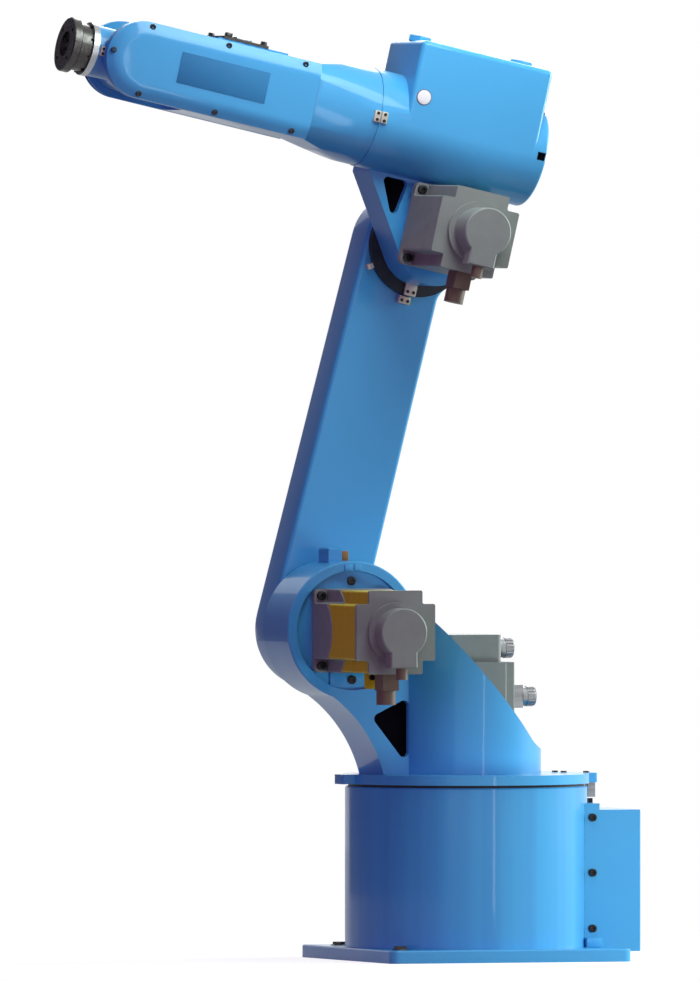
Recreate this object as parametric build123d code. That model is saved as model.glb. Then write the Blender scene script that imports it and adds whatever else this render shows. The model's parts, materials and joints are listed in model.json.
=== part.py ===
from build123d import *
import math
import os

# Six-axis articulated robot arm for factory lines, reach about 1.4 m.
# Millimetres. X points forward, Y to the arm's left, Z up.
# The origin is on the floor, on the vertical axis of the first joint.

# Running gap between two bodies at a joint, and slack of a fit within one body
RUN_GAP = 0.3
FIT_GAP = 0.2

# Base: floor plate, drum and the seal under the turntable
PLATE_X = 400
PLATE_Y = 420
PLATE_T = 20
PLATE_CORNER_R = 15
PLATE_EDGE = 2
FLOOR_SPACING_X = 320
FLOOR_SPACING_Y = 280
FLOOR_HOLE_R = 9
DRUM_R = 189
DRUM_H = 251
DRUM_EDGE = 2
SEAL_H = 3.7
SEAL_INSET = 5

# Connector box behind the drum, on its mounting frame
FRAME_HALF_W = 100
FRAME_INSET = 4
FRAME_DROP = 27
BOX_DEPTH = 69
BOX_STEP = 10
BOX_LIP_DROP = 7
BOX_EDGE = 3
PANEL_MARGIN = 14
PANEL_T = 4
SOCKET_FLANGE_R = 27
SOCKET_FLANGE_T = 4
SOCKET_R = 22
SOCKET_LEN = 8
SOCKET_EDGE = 2
SOCKET_SPACING = 84
SOCKET_RISE = 90
POST_X = 7
POST_Y = 7
POST_GAP = 2

# Turntable and column casting
TABLE_LIP = 3
TABLE_T = 15
LUG_W = 41
LUG_REACH = 20
LUG_CORNER_R = 5
MARK_X = 12
MARK_Y = 16
MARK_H = 23
COLUMN_R = 117
COLUMN_WALL = 14
COLUMN_TAIL_H = 38
COLUMN_TAIL_R = 55
BAY_FRONT_X = 75
BAY_FAR_Y = 66
SWEEP_GAP = 5
SLOPE_DEG = 49
SLOPE_INSET = 9
WEB_FOOT_X = 151
WEB_FAR_Y = 109
WEB_STEP_H = 102
WEB_STEP_FALL = 45
WEB_BOW = 15
POCKET_NEAR_X = 109
POCKET_TIP_X = 172
POCKET_LOW_H = 10
POCKET_HIGH_H = 121
POCKET_TIP_H = 90
POCKET_R = 9
POCKET_DEPTH = 16
POCKET_COVER_T = 3

# Shoulder head on the second axis
J2_X = 202
J2_H = 225
HEAD_R = 108
HEAD_NEAR_Y = 40
HEAD_FAR_Y = 73
HEAD_EDGE = 2
RECESS_R = 93
RECESS_DEPTH = 15
SHOULDER_PLATE_T = 6
STOP_LUG_X = 15
STOP_LUG_W = 22
STOP_LUG_H = 20
STOP_LUG_LEN = 46
STOP_LUG_EDGE = 2

# Servo motors: square body with open corner channels
MOTOR_SIDE = 130
MOTOR_NOTCH = 21
MOTOR_CORNER_R = 3
MOTOR_FLANGE_T = 12
MOTOR_FLANGE_R = 8
STATOR_INSET = 1.5
BELL_SPHERE_R = 86
CAP_BASE_R = 47
CAP_R = 38
CAP_BASE_T = 9
CAP_EDGE = 2
CAP_TAB_W = 44
CAP_TAB_DROP = 55
CAP_TAB_T = 26
PLUG_BLOCK_W = 26
PLUG_BLOCK_DROP = 26
PLUG_BLOCK_T = 38
PLUG_R = 15
PLUG_LEN = 22
STUB_R = 9
STUB_LEN = 18

# First motor, standing in the column
J1_MOTOR_LEN = 160
J1_ENCODER_SIDE = 88
J1_ENCODER_H = 43
J1_PLUG_BLOCK_DEPTH = 25
J1_PLUG_BLOCK_H = 36
J1_PLUG_DROP = 54
J1_SIGNAL_LEN = 31

# Second motor, on the shoulder plate
J2_BELL_REACH = 87
J2_STATOR_END = 196
J2_HOUSING_END = 203
J2_CAP_LEN = 39
J2_PLUG_SETBACK = 22

# Third motor, on the elbow web
J3_BODY_END = 143
J3_CAP_LEN = 59
J3_PLUG_SETBACK = 8

# Lower arm, from the second to the third axis
ARM_LENGTH = 616
ARM_LEAN = 14.15
ARM_FOOT_R = 92.5
ARM_TOP_R = 84
ARM_REAR = 55
ARM_WAIST_R = 32
ARM_GAP_Y = 10
ARM_T = 76
ARM_EDGE = 7
SHOULDER_RING_R = 85
ELBOW_RING_R = 80
COVER_R = 62
COVER_T = 6
COVER_EDGE = 2

# Elbow casting, in its own frame: x along the forearm, z up from the third axis
ELBOW_PITCH = 13
J4_RISE = 170
BARREL_R = 78
BARREL_REAR = 106
J4_FACE = 161
BOX_REAR = 104
BOX_FRONT = 118
BOX_TOP = 134
BOX_R = 9
END_COVER_T = 16
END_COVER_EDGE = 5
PRY_SLOT_W = 13
PRY_SLOT_DEPTH = 7
PRY_SLOT_DEG = 63
ELBOW_WEB_FAR_Y = 70
ELBOW_WEB_NEAR_Y = 8
WEB_FRONT = 135
WEB_FRONT_DROP = 81
WEB_REAR = 75
WEB_HUB_R = 62
WEB_HUB_DEG = -33
TRIANGLE_FRONT = 113
TRIANGLE_REAR = 68
TRIANGLE_TIP_X = 80
TRIANGLE_TOP = 88
TRIANGLE_TIP_Z = 18
TRIANGLE_R = 7
TRIANGLE_DEPTH = 16
LID_FLATS = 34
LID_TURN = 10
LID_H = 9
LID_EDGE = 1.5
LID_FRONT = 97
LID_REAR = 75
J3_MOTOR_RISE = 24
J3_PLATE_R = 62
J3_PLATE_T = 16

# Forearm, in its own frame: x along the fourth axis, from the plane of the third
FOREARM_ROOT_R = 77
FOREARM_GAP = 0.5
TAPER_START = 190
TAPER_END = 268
FORK_HALF_H = 60
FORK_HALF_W = 56
FORK_EDGE = 10
SLOT_HALF_W = 45
SLOT_DEPTH = 87
SLOT_R = 12
J5_REACH = 557
SIDE_COVER_T = 12
SIDE_COVER_RIM = 3
SIDE_COVER_BEVEL = 16
SIDE_COVER_R = 35
BRACKET_BACK = 354
BRACKET_FRONT = 429
BRACKET_W = 89
BRACKET_T = 4
PAD_BACK = 320
PAD_FRONT = 438
PAD_W = 87
PAD_T = 4

# Wrist and tool flange, in the wrist's own frame: x forward from the fifth axis
WRIST_HALF_W = 39
WRIST_HUB_R = 50
WRIST_NOSE_R = 40
WRIST_NOSE = 68
TRUNNION_R = 32
WRIST_EDGE = 4
RING_R = 42
RING_T = 9.5
NECK_R = 37
NECK_T = 19
FLANGE_R = 43
FLANGE_T = 14
FLANGE_EDGE = 1.5
FLANGE_BOLT_PCD = 63
FLANGE_BOLT_COUNT = 4
FLANGE_BOLT_R = 3
FLANGE_BOLT_DEPTH = 10
SPIGOT_R = 20
SPIGOT_DEPTH = 6

# Values that follow from the sizes above
DRUM_TOP = PLATE_T + DRUM_H
TABLE_Z = DRUM_TOP + SEAL_H + RUN_GAP
TABLE_TOP = TABLE_Z + TABLE_T
TABLE_R = DRUM_R + TABLE_LIP
J2_Z = TABLE_TOP + J2_H
ARM_NEAR_Y = -HEAD_FAR_Y - ARM_GAP_Y
ARM_FAR_Y = ARM_NEAR_Y - ARM_T
SHOULDER_PLATE_Y = HEAD_NEAR_Y - RECESS_DEPTH
J2_MOTOR_Y = SHOULDER_PLATE_Y + SHOULDER_PLATE_T
J3_MOTOR_Y = ELBOW_WEB_NEAR_Y + J3_PLATE_T
FRAME_BACK_X = DRUM_R - FRAME_INSET
FRAME_TOP = DRUM_TOP - FRAME_DROP
CASE_TOP = FRAME_TOP - BOX_STEP
BOX_BACK_X = FRAME_BACK_X + BOX_DEPTH
J2_CAP_END = J2_HOUSING_END + J2_CAP_LEN
J3_CAP_END = J3_BODY_END + J3_CAP_LEN

# Frames of the moving bodies at rest
SHOULDER = Pos(J2_X, 0, J2_Z)
ARM = SHOULDER * Rot(0, -ARM_LEAN, 0)
ELBOW = ARM * Pos(0, 0, ARM_LENGTH) * Rot(0, ARM_LEAN - ELBOW_PITCH, 0)
FOREARM = ELBOW * Pos(0, 0, J4_RISE)
WRIST = FOREARM * Pos(J5_REACH, 0, 0)
BASED = (Align.CENTER, Align.CENTER, Align.MIN)


def rod_x(radius, start, end, y=0, z=0):
    """Round bar along X, from start to end."""
    return Pos(start, y, z) * Rot(0, 90, 0) * Cylinder(radius, end - start, align=BASED)


def rod_y(radius, start, end, x=0, z=0):
    """Round bar along Y, from start to end."""
    return Pos(x, start, z) * Rot(-90, 0, 0) * Cylinder(radius, end - start, align=BASED)


def rod_z(radius, start, end, x=0, y=0):
    """Round bar along Z, from start to end."""
    return Pos(x, y, start) * Cylinder(radius, end - start, align=BASED)


def slab(outline, y_low, y_high):
    """Plate with an outline drawn in X and Z, between two values of Y."""
    return Pos(0, y_high, 0) * extrude(Plane.XZ * outline, y_high - y_low, dir=(0, -1, 0))


def block(x_low, x_high, y_low, y_high, z_low, z_high):
    """Box between two corners."""
    centre = Pos((x_low + x_high) / 2, (y_low + y_high) / 2, (z_low + z_high) / 2)
    return centre * Box(x_high - x_low, y_high - y_low, z_high - z_low)


def face_edges(solid, axis, last):
    """Edges of the lowest or highest face along an axis."""
    return solid.faces().sort_by(axis)[-1 if last else 0].edges()


# Base


def base_plate():
    """Floor plate with its four anchor holes."""
    plate = extrude(RectangleRounded(PLATE_X, PLATE_Y, PLATE_CORNER_R), PLATE_T)
    plate = chamfer(face_edges(plate, Axis.Z, True), PLATE_EDGE)
    for corner in GridLocations(FLOOR_SPACING_X, FLOOR_SPACING_Y, 2, 2):
        plate -= corner * rod_z(FLOOR_HOLE_R, 0, PLATE_T)
    return plate


def base_drum():
    """Round pedestal under the first joint."""
    drum = rod_z(DRUM_R, PLATE_T, DRUM_TOP)
    return chamfer(face_edges(drum, Axis.Z, True), DRUM_EDGE)


def bearing_seal():
    """Dark seal disc in the gap between drum and turntable."""
    return rod_z(DRUM_R - SEAL_INSET, DRUM_TOP, DRUM_TOP + SEAL_H)


def box_frame():
    """Two cheeks that carry the connector box, one each side of the drum's back."""
    frame = block(-FRAME_BACK_X, 0, -FRAME_HALF_W, FRAME_HALF_W, PLATE_T, FRAME_TOP)
    return frame - rod_z(DRUM_R + FIT_GAP, 0, DRUM_TOP)


def connector_box():
    """Closed box behind the drum, with a lip that drops behind the floor plate."""
    top = CASE_TOP
    lip_x = PLATE_X / 2 + FIT_GAP
    outline = Polygon(
        (-FRAME_BACK_X, PLATE_T),
        (-FRAME_BACK_X, top),
        (-BOX_BACK_X, top),
        (-BOX_BACK_X, PLATE_T - BOX_LIP_DROP),
        (-lip_x, PLATE_T - BOX_LIP_DROP),
        (-lip_x, PLATE_T),
        align=None,
    )
    box = slab(outline, -FRAME_HALF_W, FRAME_HALF_W)
    box = fillet(face_edges(box, Axis.X, False), BOX_EDGE)
    return box - rod_z(DRUM_R + FIT_GAP, 0, DRUM_TOP)


def connector_panel():
    """Plate over the box's back, which carries the sockets."""
    low = PLATE_T + PANEL_MARGIN
    high = CASE_TOP - PANEL_MARGIN
    half = FRAME_HALF_W - PANEL_MARGIN
    panel = block(-BOX_BACK_X - PANEL_T, -BOX_BACK_X, -half, half, low, high)
    return fillet(panel.edges().filter_by(Axis.X), BOX_EDGE)


def cable_sockets():
    """Two round bulkhead sockets on the panel, closed by their low screw caps."""
    start = -BOX_BACK_X - PANEL_T
    rise = PLATE_T + SOCKET_RISE
    socket = rod_x(SOCKET_R, start - SOCKET_LEN, start, z=rise)
    socket = chamfer(face_edges(socket, Axis.X, False), SOCKET_EDGE)
    socket += rod_x(SOCKET_FLANGE_R, start - SOCKET_FLANGE_T, start, z=rise)
    side = Pos(0, SOCKET_SPACING / 2, 0)
    return Compound(children=[side * socket, side.inverse() * socket])


def base_mark():
    """Thin post on the box, under the turntable's mark block."""
    x = -TABLE_R - LUG_REACH + MARK_X / 2
    top = TABLE_Z - MARK_H - POST_GAP
    return block(x - POST_X / 2, x + POST_X / 2, -POST_Y / 2, POST_Y / 2, CASE_TOP, top)


# Turret


def turntable():
    """Disc on the first joint, with a lug in front and one behind."""
    lugs = RectangleRounded(2 * (TABLE_R + LUG_REACH), LUG_W, LUG_CORNER_R)
    return Pos(0, 0, TABLE_Z) * extrude(Circle(TABLE_R) + lugs, TABLE_T)


def turntable_mark():
    """Zero-mark block under the turntable's rear lug."""
    back = -TABLE_R - LUG_REACH
    return block(back, back + MARK_X, -MARK_Y / 2, MARK_Y / 2, TABLE_Z - MARK_H, TABLE_Z)


def slope_point(x):
    """Point of the column's sloping back edge at a given X."""
    turn = math.radians(SLOPE_DEG)
    reach = HEAD_R - SLOPE_INSET
    top_x = J2_X - reach * math.sin(turn)
    top_z = J2_Z + reach * math.cos(turn)
    return (x, top_z + (x - top_x) * math.tan(turn))


def web_outline():
    """Side view of the web that carries the head: bowed front edge and sloping back."""
    foot = (WEB_FOOT_X, TABLE_TOP)
    turn = math.radians(SLOPE_DEG)
    under = (J2_X + HEAD_R * math.cos(turn), J2_Z - HEAD_R * math.sin(turn))
    middle = ((foot[0] + under[0]) / 2 - WEB_BOW, (foot[1] + under[1]) / 2 + WEB_BOW)
    back_top = slope_point(J2_X - HEAD_R * math.sin(turn))
    edge = ThreePointArc(foot, middle, under)
    rest = Polyline(under, (J2_X, J2_Z), back_top, slope_point(0), (0, TABLE_TOP), foot)
    return make_face([edge, *rest.edges()])


def column_outline():
    """Side view of the round column under its sloping top."""
    tail = TABLE_TOP + COLUMN_TAIL_H
    rise = slope_point(0)[1]
    bend_x = (tail - rise) / math.tan(math.radians(SLOPE_DEG))
    wide = COLUMN_R + COLUMN_WALL
    outline = Polygon(
        (-wide, TABLE_TOP), (wide, TABLE_TOP), slope_point(wide), (bend_x, tail), (-wide, tail), align=None
    )
    bend = outline.vertices().sort_by_distance((bend_x, tail, 0))[0]
    return fillet(bend, COLUMN_TAIL_R)


def pocket_outline():
    """Rounded triangular pocket in the web's near face."""
    corners = Polygon(
        (POCKET_NEAR_X, TABLE_TOP + POCKET_LOW_H),
        (POCKET_TIP_X, TABLE_TOP + POCKET_TIP_H),
        (POCKET_NEAR_X, TABLE_TOP + POCKET_HIGH_H),
        align=None,
    )
    return fillet(corners.vertices(), POCKET_R)


def column():
    """Column casting: open-backed round column, front web and shoulder head."""
    top = J2_Z + HEAD_R
    casting = rod_z(COLUMN_R, TABLE_TOP, top) & slab(column_outline(), -2 * COLUMN_R, 2 * COLUMN_R)
    casting += slab(web_outline(), -HEAD_FAR_Y, HEAD_NEAR_Y)
    casting += web_foot()
    head = rod_y(HEAD_R, -HEAD_FAR_Y, HEAD_NEAR_Y, J2_X, J2_Z)
    casting += chamfer(face_edges(head, Axis.Y, True), HEAD_EDGE)
    casting += stop_lug()
    bay_r = COLUMN_R - COLUMN_WALL
    bay = rod_z(bay_r, TABLE_TOP + COLUMN_WALL, top)
    casting -= bay & block(-bay_r, BAY_FRONT_X, -BAY_FAR_Y, bay_r, TABLE_TOP, top)
    casting -= slab(pocket_outline(), HEAD_NEAR_Y - POCKET_DEPTH, HEAD_NEAR_Y)
    casting -= rod_y(RECESS_R, SHOULDER_PLATE_Y, HEAD_NEAR_Y, J2_X, J2_Z)
    return casting - arm_sweep(top)


def web_foot():
    """Far half of the web, low enough for the lower arm to pass and sloping down to its far face."""
    step = TABLE_TOP + WEB_STEP_H
    section = Polygon(
        (-WEB_FAR_Y, TABLE_TOP),
        (-WEB_FAR_Y, step - WEB_STEP_FALL),
        (-HEAD_FAR_Y, step),
        (-HEAD_FAR_Y, TABLE_TOP),
        align=None,
    )
    return slab(web_outline(), -WEB_FAR_Y, -HEAD_FAR_Y) & extrude(Plane.YZ * section, J2_X + HEAD_R)


def arm_sweep(top):
    """Space that the lower arm sweeps beside the column, which leaves a flat on its far side."""
    flat_y = ARM_NEAR_Y + SWEEP_GAP
    return block(-COLUMN_R, J2_X + HEAD_R, flat_y - COLUMN_R, flat_y, TABLE_TOP + WEB_STEP_H, top)


def pocket_cover():
    """Dark sheet on the floor of the web's pocket."""
    floor = HEAD_NEAR_Y - POCKET_DEPTH
    return slab(offset(pocket_outline(), -FIT_GAP), floor, floor + POCKET_COVER_T)


def stop_lug():
    """Cast lug on top of the head, for the second joint's hard stop."""
    x = J2_X + STOP_LUG_X
    lug = block(x - STOP_LUG_W / 2, x + STOP_LUG_W / 2, -STOP_LUG_LEN, 0, J2_Z, J2_Z + HEAD_R + STOP_LUG_H)
    return chamfer(face_edges(lug, Axis.Z, True), STOP_LUG_EDGE)


def shoulder_plate():
    """Round plate in the head's recess, which carries the second motor."""
    return rod_y(RECESS_R - FIT_GAP, SHOULDER_PLATE_Y, J2_MOTOR_Y, J2_X, J2_Z)


def shoulder_reducer():
    """Reducer rim between head and lower arm."""
    return rod_y(SHOULDER_RING_R, ARM_NEAR_Y + RUN_GAP, -HEAD_FAR_Y, J2_X, J2_Z)


# Motors, each in its own frame: z along the shaft from the mounting face, y towards the plugs


def motor_section(inset=0):
    """Square section with a channel cut out of each corner."""
    side = MOTOR_SIDE - 2 * inset
    section = Rectangle(side, side)
    for corner in GridLocations(MOTOR_SIDE - MOTOR_NOTCH, MOTOR_SIDE - MOTOR_NOTCH, 2, 2):
        section -= corner * Rectangle(MOTOR_NOTCH + 2 * inset, MOTOR_NOTCH + 2 * inset)
    return fillet(section.vertices(), MOTOR_CORNER_R)


def motor_flange():
    """Full square flange on the mounting face."""
    return extrude(RectangleRounded(MOTOR_SIDE, MOTOR_SIDE, MOTOR_FLANGE_R), MOTOR_FLANGE_T)


def motor_length(start, end, inset=0):
    """Length of the channelled motor body."""
    return Pos(0, 0, start) * extrude(motor_section(inset), end - start)


def bell_ball(radius):
    """Ball whose surface is the rounded end of a front bell."""
    rise = math.sqrt(BELL_SPHERE_R**2 - (MOTOR_SIDE / 2) ** 2)
    return Pos(0, 0, J2_BELL_REACH - rise) * Sphere(radius)


def motor_bell():
    """Flange and front bell, which ends in a ball face."""
    end = J2_BELL_REACH + BELL_SPHERE_R
    return motor_flange() + (motor_length(MOTOR_FLANGE_T, end) & bell_ball(BELL_SPHERE_R))


def motor_stator():
    """Bare stator stack behind the bell."""
    return motor_length(MOTOR_FLANGE_T + FIT_GAP, J2_STATOR_END, STATOR_INSET) - bell_ball(BELL_SPHERE_R + FIT_GAP)


def motor_cap(start, length):
    """Round brake and encoder cap with a square tab towards the plugs."""
    cap = Pos(0, 0, start) * Cylinder(CAP_BASE_R, CAP_BASE_T, align=BASED)
    end = start + length
    cap += Pos(0, 0, start) * Cylinder(CAP_R, length, align=BASED)
    cap += block(-CAP_TAB_W / 2, CAP_TAB_W / 2, 0, CAP_TAB_DROP, end - CAP_TAB_T, end)
    return chamfer(face_edges(cap, Axis.Z, True), CAP_EDGE)


def motor_plugs(body_end, setback, inset, cap_end):
    """Power plug under the body, whose side may be inset, and signal stub under the cap's tab."""
    front = body_end - setback
    back = front - PLUG_BLOCK_T
    drop = MOTOR_SIDE / 2 + PLUG_BLOCK_DROP
    socket = block(-PLUG_BLOCK_W / 2, PLUG_BLOCK_W / 2, MOTOR_SIDE / 2 - inset, drop, back, front)
    power = rod_y(PLUG_R, drop, drop + PLUG_LEN, 0, back + PLUG_R)
    stub = rod_y(STUB_R, CAP_TAB_DROP, CAP_TAB_DROP + STUB_LEN, 0, cap_end - CAP_TAB_T / 2)
    return Compound(children=[socket + power, stub])


J1_MOTOR = Pos(0, 0, TABLE_TOP + COLUMN_WALL) * Rot(0, 0, 90)
J2_MOTOR = Pos(J2_X, J2_MOTOR_Y, J2_Z) * Rot(-90, 0, 0)
J3_MOTOR = ELBOW * Pos(0, J3_MOTOR_Y, J3_MOTOR_RISE) * Rot(-90, 0, 0)


def j1_encoder():
    """Square encoder housing on top of the first motor."""
    outline = RectangleRounded(J1_ENCODER_SIDE, J1_ENCODER_SIDE, MOTOR_FLANGE_R)
    return Pos(0, 0, J1_MOTOR_LEN) * extrude(outline, J1_ENCODER_H)


def j1_plugs():
    """Plug block with its round plug on the motor, and the encoder's round plug."""
    low = MOTOR_SIDE / 2
    high = J1_MOTOR_LEN - (J1_PLUG_DROP - J1_PLUG_BLOCK_H / 2)
    mid = high - J1_PLUG_BLOCK_H / 2
    out = low + J1_PLUG_BLOCK_DEPTH
    socket = block(-PLUG_BLOCK_W / 2, PLUG_BLOCK_W / 2, low, out, high - J1_PLUG_BLOCK_H, high)
    power = rod_y(PLUG_R, out, out + PLUG_LEN, 0, mid)
    side = J1_ENCODER_SIDE / 2
    signal = rod_y(PLUG_R, side, side + J1_SIGNAL_LEN, 0, J1_MOTOR_LEN + J1_ENCODER_H / 2)
    return Compound(children=[socket + power, signal])


# Lower arm


def arm_outline():
    """Two round ends, joined by a tangent front edge and a straight rear edge."""
    sine = (ARM_FOOT_R - ARM_TOP_R) / ARM_LENGTH
    cosine = math.sqrt(1 - sine**2)
    beam = Polygon(
        (ARM_FOOT_R * cosine, ARM_FOOT_R * sine),
        (ARM_TOP_R * cosine, ARM_LENGTH + ARM_TOP_R * sine),
        (-ARM_REAR, ARM_LENGTH),
        (-ARM_REAR, 0),
        align=None,
    )
    outline = beam + Circle(ARM_FOOT_R) + Pos(0, ARM_LENGTH) * Circle(ARM_TOP_R)
    waist = [
        (-ARM_REAR, math.sqrt(ARM_FOOT_R**2 - ARM_REAR**2), 0),
        (-ARM_REAR, ARM_LENGTH - math.sqrt(ARM_TOP_R**2 - ARM_REAR**2), 0),
    ]
    return fillet([outline.vertices().sort_by_distance(point)[0] for point in waist], ARM_WAIST_R)


def lower_arm():
    """Arm casting with rounded edges, on the far side of head and elbow."""
    arm = slab(arm_outline(), ARM_FAR_Y, ARM_NEAR_Y)
    rims = face_edges(arm, Axis.Y, False) + face_edges(arm, Axis.Y, True)
    return fillet(rims, ARM_EDGE)


def far_cover(z):
    """Round cover on the arm's far face, over a joint."""
    cover = rod_y(COVER_R, ARM_FAR_Y - COVER_T, ARM_FAR_Y, 0, z)
    return chamfer(face_edges(cover, Axis.Y, False), COVER_EDGE)


def elbow_reducer():
    """Dark reducer rim between lower arm and elbow."""
    return rod_y(ELBOW_RING_R, ARM_NEAR_Y, -ELBOW_WEB_FAR_Y - RUN_GAP, 0, ARM_LENGTH)


# Elbow


def elbow_web_outline():
    """Web from the third joint up into the barrel."""
    turn = math.radians(WEB_HUB_DEG)
    front = (WEB_HUB_R * math.cos(turn), WEB_HUB_R * math.sin(turn))
    web = Polygon(
        (WEB_FRONT, J4_RISE),
        (WEB_FRONT, J4_RISE - WEB_FRONT_DROP),
        front,
        (-WEB_HUB_R, 0),
        (-WEB_REAR, J4_RISE - WEB_FRONT_DROP),
        (-WEB_REAR, J4_RISE),
        align=None,
    )
    return web + Circle(WEB_HUB_R)


def elbow_pocket_outline():
    """Rounded triangular pocket in the elbow web."""
    corners = Polygon(
        (TRIANGLE_FRONT, TRIANGLE_TOP), (TRIANGLE_REAR, TRIANGLE_TOP), (TRIANGLE_TIP_X, TRIANGLE_TIP_Z), align=None
    )
    return fillet(corners.vertices(), TRIANGLE_R)


def elbow_pocket_cover():
    """Dark sheet on the floor of the elbow web's pocket."""
    floor = ELBOW_WEB_NEAR_Y - TRIANGLE_DEPTH
    return slab(offset(elbow_pocket_outline(), -FIT_GAP), floor, floor + POCKET_COVER_T)


def elbow_housing():
    """Elbow casting: barrel on the fourth axis, motor box on top and web down to the third."""
    box = block(-BOX_REAR, BOX_FRONT, -BARREL_R, BARREL_R, J4_RISE, J4_RISE + BOX_TOP)
    box = fillet(box.edges().filter_by(Axis.Z) + face_edges(box, Axis.Z, True), BOX_R)
    casting = box + rod_x(BARREL_R, -BARREL_REAR, J4_FACE, z=J4_RISE)
    web = slab(elbow_web_outline(), -ELBOW_WEB_FAR_Y, ELBOW_WEB_NEAR_Y)
    web -= slab(elbow_pocket_outline(), ELBOW_WEB_NEAR_Y - TRIANGLE_DEPTH, ELBOW_WEB_NEAR_Y)
    return casting + web


def elbow_end_cover():
    """Round cover on the barrel's rear end, with slots in its rim to pry it off."""
    back = -BARREL_REAR - END_COVER_T
    cover = fillet(face_edges(rod_x(BARREL_R, back, -BARREL_REAR), Axis.X, False), END_COVER_EDGE)
    half = PRY_SLOT_W / 2
    pry_slot = block(back, -BARREL_REAR, BARREL_R - PRY_SLOT_DEPTH, BARREL_R + half, -half, half)
    for turn in (0, PRY_SLOT_DEG, 180 - PRY_SLOT_DEG, 180):
        cover -= Rot(turn, 0, 0) * pry_slot
    return Pos(0, 0, J4_RISE) * cover


def elbow_lids():
    """Two low hexagonal lids on top of the motor box."""
    top = J4_RISE + BOX_TOP
    outline = RegularPolygon(LID_FLATS / 2, 6, major_radius=False, rotation=LID_TURN)
    lid = Pos(0, 0, top) * extrude(outline, LID_H)
    lid = chamfer(face_edges(lid, Axis.Z, True), LID_EDGE)
    return Compound(children=[Pos(LID_FRONT, 0, 0) * lid, Pos(-LID_REAR, 0, 0) * lid])


def j3_motor_plate():
    """Round boss between the elbow web and the third motor."""
    return rod_y(J3_PLATE_R, ELBOW_WEB_NEAR_Y, J3_MOTOR_Y, 0, J3_MOTOR_RISE)


# Forearm


def fork_outline():
    """Side view of the fork: straight back, round end about the fifth axis."""
    half = FORK_HALF_H
    body = Polygon((TAPER_END, -half), (J5_REACH, -half), (J5_REACH, half), (TAPER_END, half), align=None)
    return body + Pos(J5_REACH, 0) * Circle(half)


def forearm_body():
    """Round root that tapers to a flat-sided fork."""
    start = J4_FACE + FOREARM_GAP
    root = rod_x(FOREARM_ROOT_R, start, TAPER_START)
    wide = Plane.YZ.offset(TAPER_START) * Rectangle(2 * FOREARM_ROOT_R, 2 * FOREARM_ROOT_R)
    flush = FORK_HALF_W + SIDE_COVER_T
    narrow = Plane.YZ.offset(TAPER_END) * Rectangle(2 * flush, 2 * FORK_HALF_H)
    taper = loft([wide, narrow]) & rod_x(FOREARM_ROOT_R, TAPER_START, TAPER_END)
    fork = slab(fork_outline(), -FORK_HALF_W, FORK_HALF_W)
    fork = fillet(face_edges(fork, Axis.Y, True) + face_edges(fork, Axis.Y, False), FORK_EDGE)
    slot = block(J5_REACH - SLOT_DEPTH, J5_REACH + FORK_HALF_H, -SLOT_HALF_W, SLOT_HALF_W,
                 -FORK_HALF_H, FORK_HALF_H)
    slot = fillet(face_edges(slot, Axis.X, False).filter_by(Axis.Z), SLOT_R)
    return root + taper + fork - slot


def cover_outline(inset):
    """Outline of a side cover, drawn in from the fork's outline but not at its back end."""
    half = FORK_HALF_H - inset
    straight = Polygon((TAPER_END, -half), (J5_REACH, -half), (J5_REACH, half), (TAPER_END, half), align=None)
    return straight + Pos(J5_REACH, 0) * Circle(half)


def side_cover():
    """Long cover on the fork's left side, with a bevelled rim and a soft shoulder."""
    rim = slab(cover_outline(0), FORK_HALF_W, FORK_HALF_W + SIDE_COVER_RIM)
    foot = Plane.XZ.offset(-FORK_HALF_W - SIDE_COVER_RIM) * cover_outline(0)
    face = Plane.XZ.offset(-FORK_HALF_W - SIDE_COVER_T) * cover_outline(SIDE_COVER_BEVEL)
    cover = rim + loft([foot, face])
    shoulder = face_edges(cover, Axis.Y, True).sort_by(Axis.X)[1:]
    return fillet(shoulder, SIDE_COVER_R)


def bracket_pad():
    """Raised pad on top of the fork."""
    top = FORK_HALF_H
    return block(PAD_BACK, PAD_FRONT, -PAD_W / 2, PAD_W / 2, top, top + PAD_T)


def top_bracket():
    """Flat bracket on the pad, for tooling cables."""
    low = FORK_HALF_H + PAD_T
    return block(BRACKET_BACK, BRACKET_FRONT, -BRACKET_W / 2, BRACKET_W / 2, low, low + BRACKET_T)


# Wrist and tool flange


def wrist_body():
    """Wrist block between the forks, with a round nose and a trunnion each side."""
    hub = rod_y(WRIST_HUB_R, -WRIST_HALF_W, WRIST_HALF_W)
    hub = fillet(face_edges(hub, Axis.Y, True) + face_edges(hub, Axis.Y, False), WRIST_EDGE)
    trunnion = SLOT_HALF_W - RUN_GAP
    return hub + rod_x(WRIST_NOSE_R, 0, WRIST_NOSE) + rod_y(TRUNNION_R, -trunnion, trunnion)


def wrist_ring():
    """Bright ring on the wrist's nose."""
    return rod_x(RING_R, WRIST_NOSE, WRIST_NOSE + RING_T)


def flange_neck():
    """Dark neck behind the tool flange."""
    start = WRIST_NOSE + RING_T + RUN_GAP
    return rod_x(NECK_R, start, start + NECK_T)


def tool_flange():
    """Tool flange with a centring recess and tapped bolt holes."""
    start = WRIST_NOSE + RING_T + RUN_GAP + NECK_T
    end = start + FLANGE_T
    flange = rod_x(FLANGE_R, start, end)
    flange = chamfer(face_edges(flange, Axis.X, True) + face_edges(flange, Axis.X, False), FLANGE_EDGE)
    flange -= rod_x(SPIGOT_R, end - SPIGOT_DEPTH, end)
    for index in range(FLANGE_BOLT_COUNT):
        turn = math.radians(360 * (index + 0.5) / FLANGE_BOLT_COUNT)
        y = FLANGE_BOLT_PCD / 2 * math.cos(turn)
        z = FLANGE_BOLT_PCD / 2 * math.sin(turn)
        flange -= rod_x(FLANGE_BOLT_R, end - FLANGE_BOLT_DEPTH, end, y, z)
    return flange


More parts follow.
